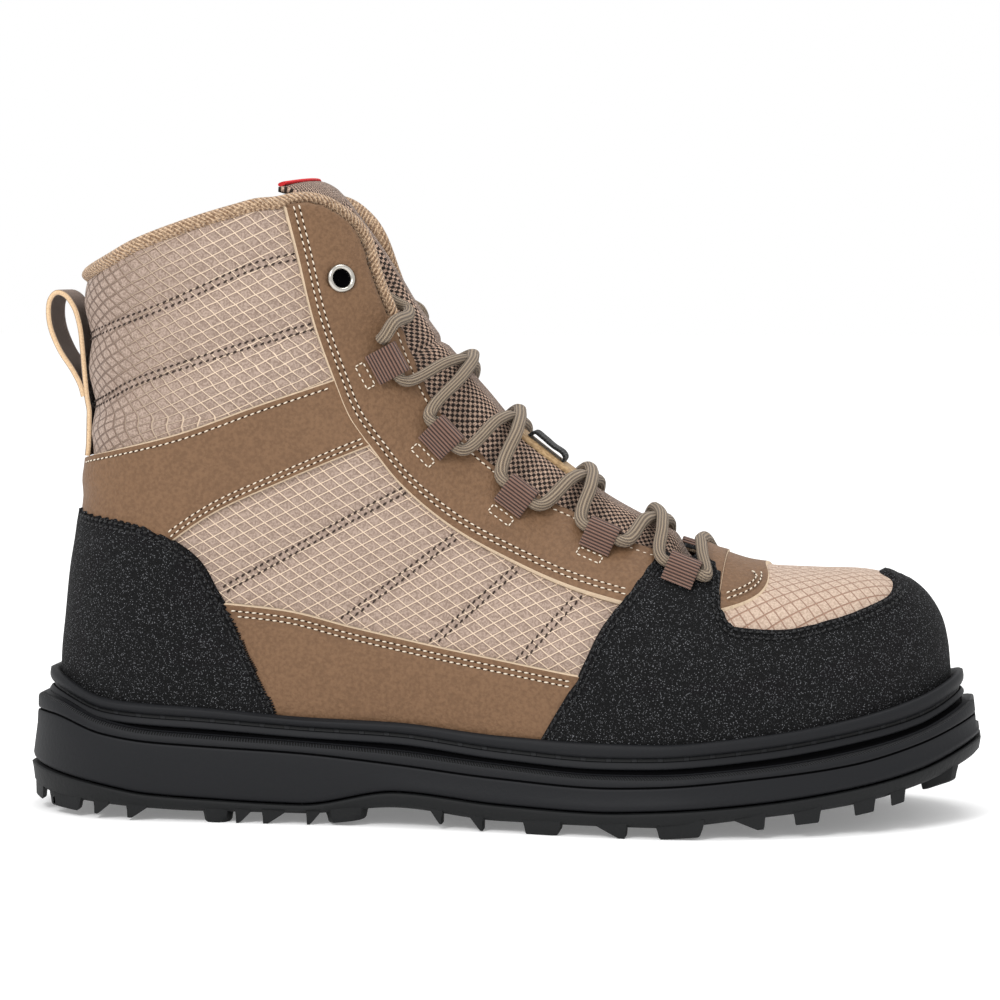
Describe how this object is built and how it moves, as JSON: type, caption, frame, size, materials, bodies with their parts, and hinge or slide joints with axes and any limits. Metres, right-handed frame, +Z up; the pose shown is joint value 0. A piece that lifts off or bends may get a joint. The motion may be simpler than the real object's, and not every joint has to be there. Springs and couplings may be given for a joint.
{
  "type": "wading boot",
  "caption": "Right-foot wading boot with lugged rubber sole, fabric and leather upper, padded collar, mesh tongue, webbing lace loops and a heel pull loop.",
  "frame": {"origin": "on the ground under the middle of the boot's bounding box", "axes": "+X from heel to toe, +Z up, -Y towards the outer side of the foot"},
  "size_m": [0.322, 0.1181, 0.2135],
  "materials": {
    "tread_rubber": "dark charcoal lug rubber, matte",
    "sole_rubber": "charcoal moulded rubber, matte",
    "insole_fabric": "dark insole fabric",
    "ripstop": "coated taupe ripstop weave",
    "tongue_mesh": "open spacer mesh",
    "guard_fabric": "black coated abrasion fabric",
    "brown_leather": "matte brown leather",
    "tan_leather": "smooth tan leather",
    "black_webbing": "black webbing",
    "red_webbing": "plain red webbing",
    "knit": "beige knit binding",
    "webbing": "ribbed brown webbing",
    "lace": "braided taupe lace",
    "eyelet_metal": "dulled metal eyelet"
  },
  "bodies": {
    "root": {"outsole": "tread_rubber", "midsole": "sole_rubber", "welt": "sole_rubber", "insole": "insole_fabric", "upper": "ripstop", "tongue": "tongue_mesh", "toe_cap": "guard_fabric", "heel_counter": "guard_fabric", "ankle_band": "brown_leather", "vamp_patch": "brown_leather", "tongue_patch": "tan_leather", "tongue_keeper": "black_webbing", "tongue_tab": "red_webbing", "collar_binding": "knit", "pull_loop": "webbing", "eyestay_lateral": "brown_leather", "quarter_band_lateral": "brown_leather", "eyelet_lateral": "eyelet_metal", "lace_end_lateral": "lace", "lace_loop_lateral_1": "webbing", "lace_loop_lateral_2": "webbing", "lace_loop_lateral_3": "webbing", "lace_loop_lateral_4": "webbing", "lace_loop_lateral_5": "webbing", "eyestay_medial": "brown_leather", "quarter_band_medial": "brown_leather", "eyelet_medial": "eyelet_metal", "lace_end_medial": "lace", "lace_loop_medial_1": "webbing", "lace_loop_medial_2": "webbing", "lace_loop_medial_3": "webbing", "lace_loop_medial_4": "webbing", "lace_loop_medial_5": "webbing", "lace_crossing_1": "lace", "lace_crossing_2": "lace", "lace_crossing_3": "lace", "lace_crossing_4": "lace", "lace_bar": "lace"}
  },
  "joints": []
}
